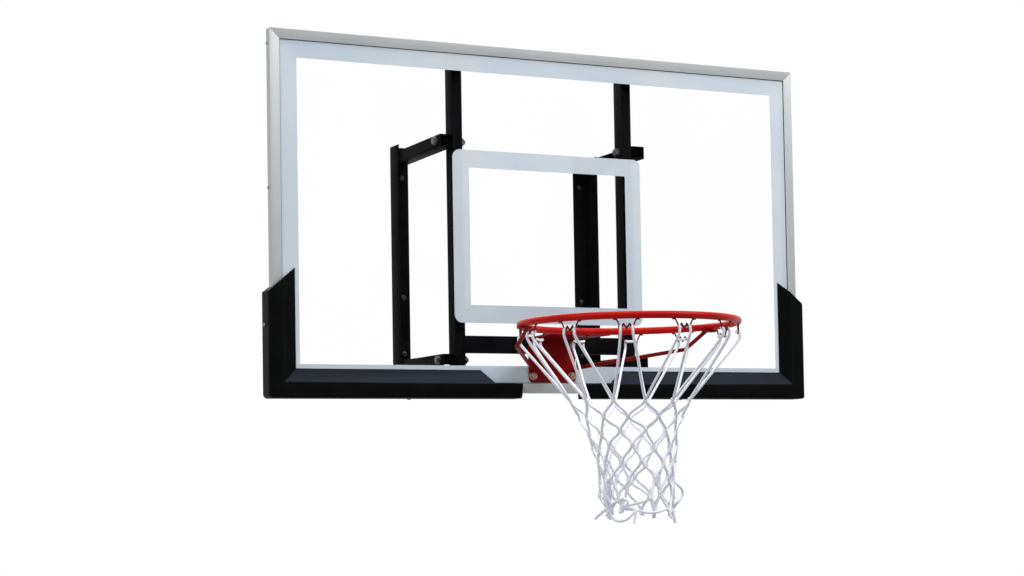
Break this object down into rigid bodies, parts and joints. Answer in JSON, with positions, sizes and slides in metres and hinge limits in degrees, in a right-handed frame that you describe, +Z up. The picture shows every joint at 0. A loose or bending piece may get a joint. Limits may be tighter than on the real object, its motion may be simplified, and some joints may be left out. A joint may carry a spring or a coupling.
{
  "type": "basketball backboard",
  "caption": "Wall-mounted basketball backboard: clear framed sheet with white target, corner pads, black tube bracket on wall angles, red ring with braces and a white net.",
  "frame": {"origin": "on the wall plane, in the middle of the four outer wall bolt holes", "axes": "+X to the right seen from the court, +Y into the wall, +Z up"},
  "size_m": [1.4032, 0.9392, 1.0854],
  "materials": {
    "clear_sheet": "clear polished sheet",
    "white_print": "white screen print",
    "gasket_rubber": "black seal",
    "frame_aluminium": "satin silver",
    "pad_rubber": "black moulded foam skin",
    "black_steel": "black powder coat",
    "black_plastic": "black moulded",
    "zinc_steel": "zinc plated",
    "red_steel": "red powder coat",
    "net_cord": "white braided cord"
  },
  "bodies": {
    "root": {"panel": "clear_sheet", "border_print": "white_print", "target_print": "white_print", "panel_gasket": "gasket_rubber", "frame_bottom": "frame_aluminium", "frame_top": "frame_aluminium", "frame_left": "frame_aluminium", "frame_right": "frame_aluminium", "corner_keys": "frame_aluminium", "frame_screws": "zinc_steel", "left_pad": "pad_rubber", "right_pad": "pad_rubber", "pad_screws": "zinc_steel", "upright_left": "black_steel", "upright_right": "black_steel", "upright_caps": "black_plastic", "upright_bolts": "zinc_steel", "upright_nuts": "zinc_steel", "cross_tube_upper": "black_steel", "cross_tube_lower": "black_steel", "arm_upper_left": "black_steel", "arm_upper_right": "black_steel", "arm_lower_left": "black_steel", "arm_lower_right": "black_steel", "arm_bolts": "zinc_steel", "arm_washers": "zinc_steel", "arm_nuts": "zinc_steel", "arm_spacers": "black_steel", "wall_angle_left": "black_steel", "wall_angle_right": "black_steel", "bracket_welds": "black_steel", "rim_ring": "red_steel", "rim_bracket": "red_steel", "rim_welds": "red_steel", "rim_brace_right": "red_steel", "rim_brace_left": "red_steel", "net_clips": "red_steel", "rim_bolts": "zinc_steel", "rim_washers": "zinc_steel", "rim_nuts": "zinc_steel", "rim_spacers": "black_plastic", "net": "net_cord"}
  },
  "joints": []
}
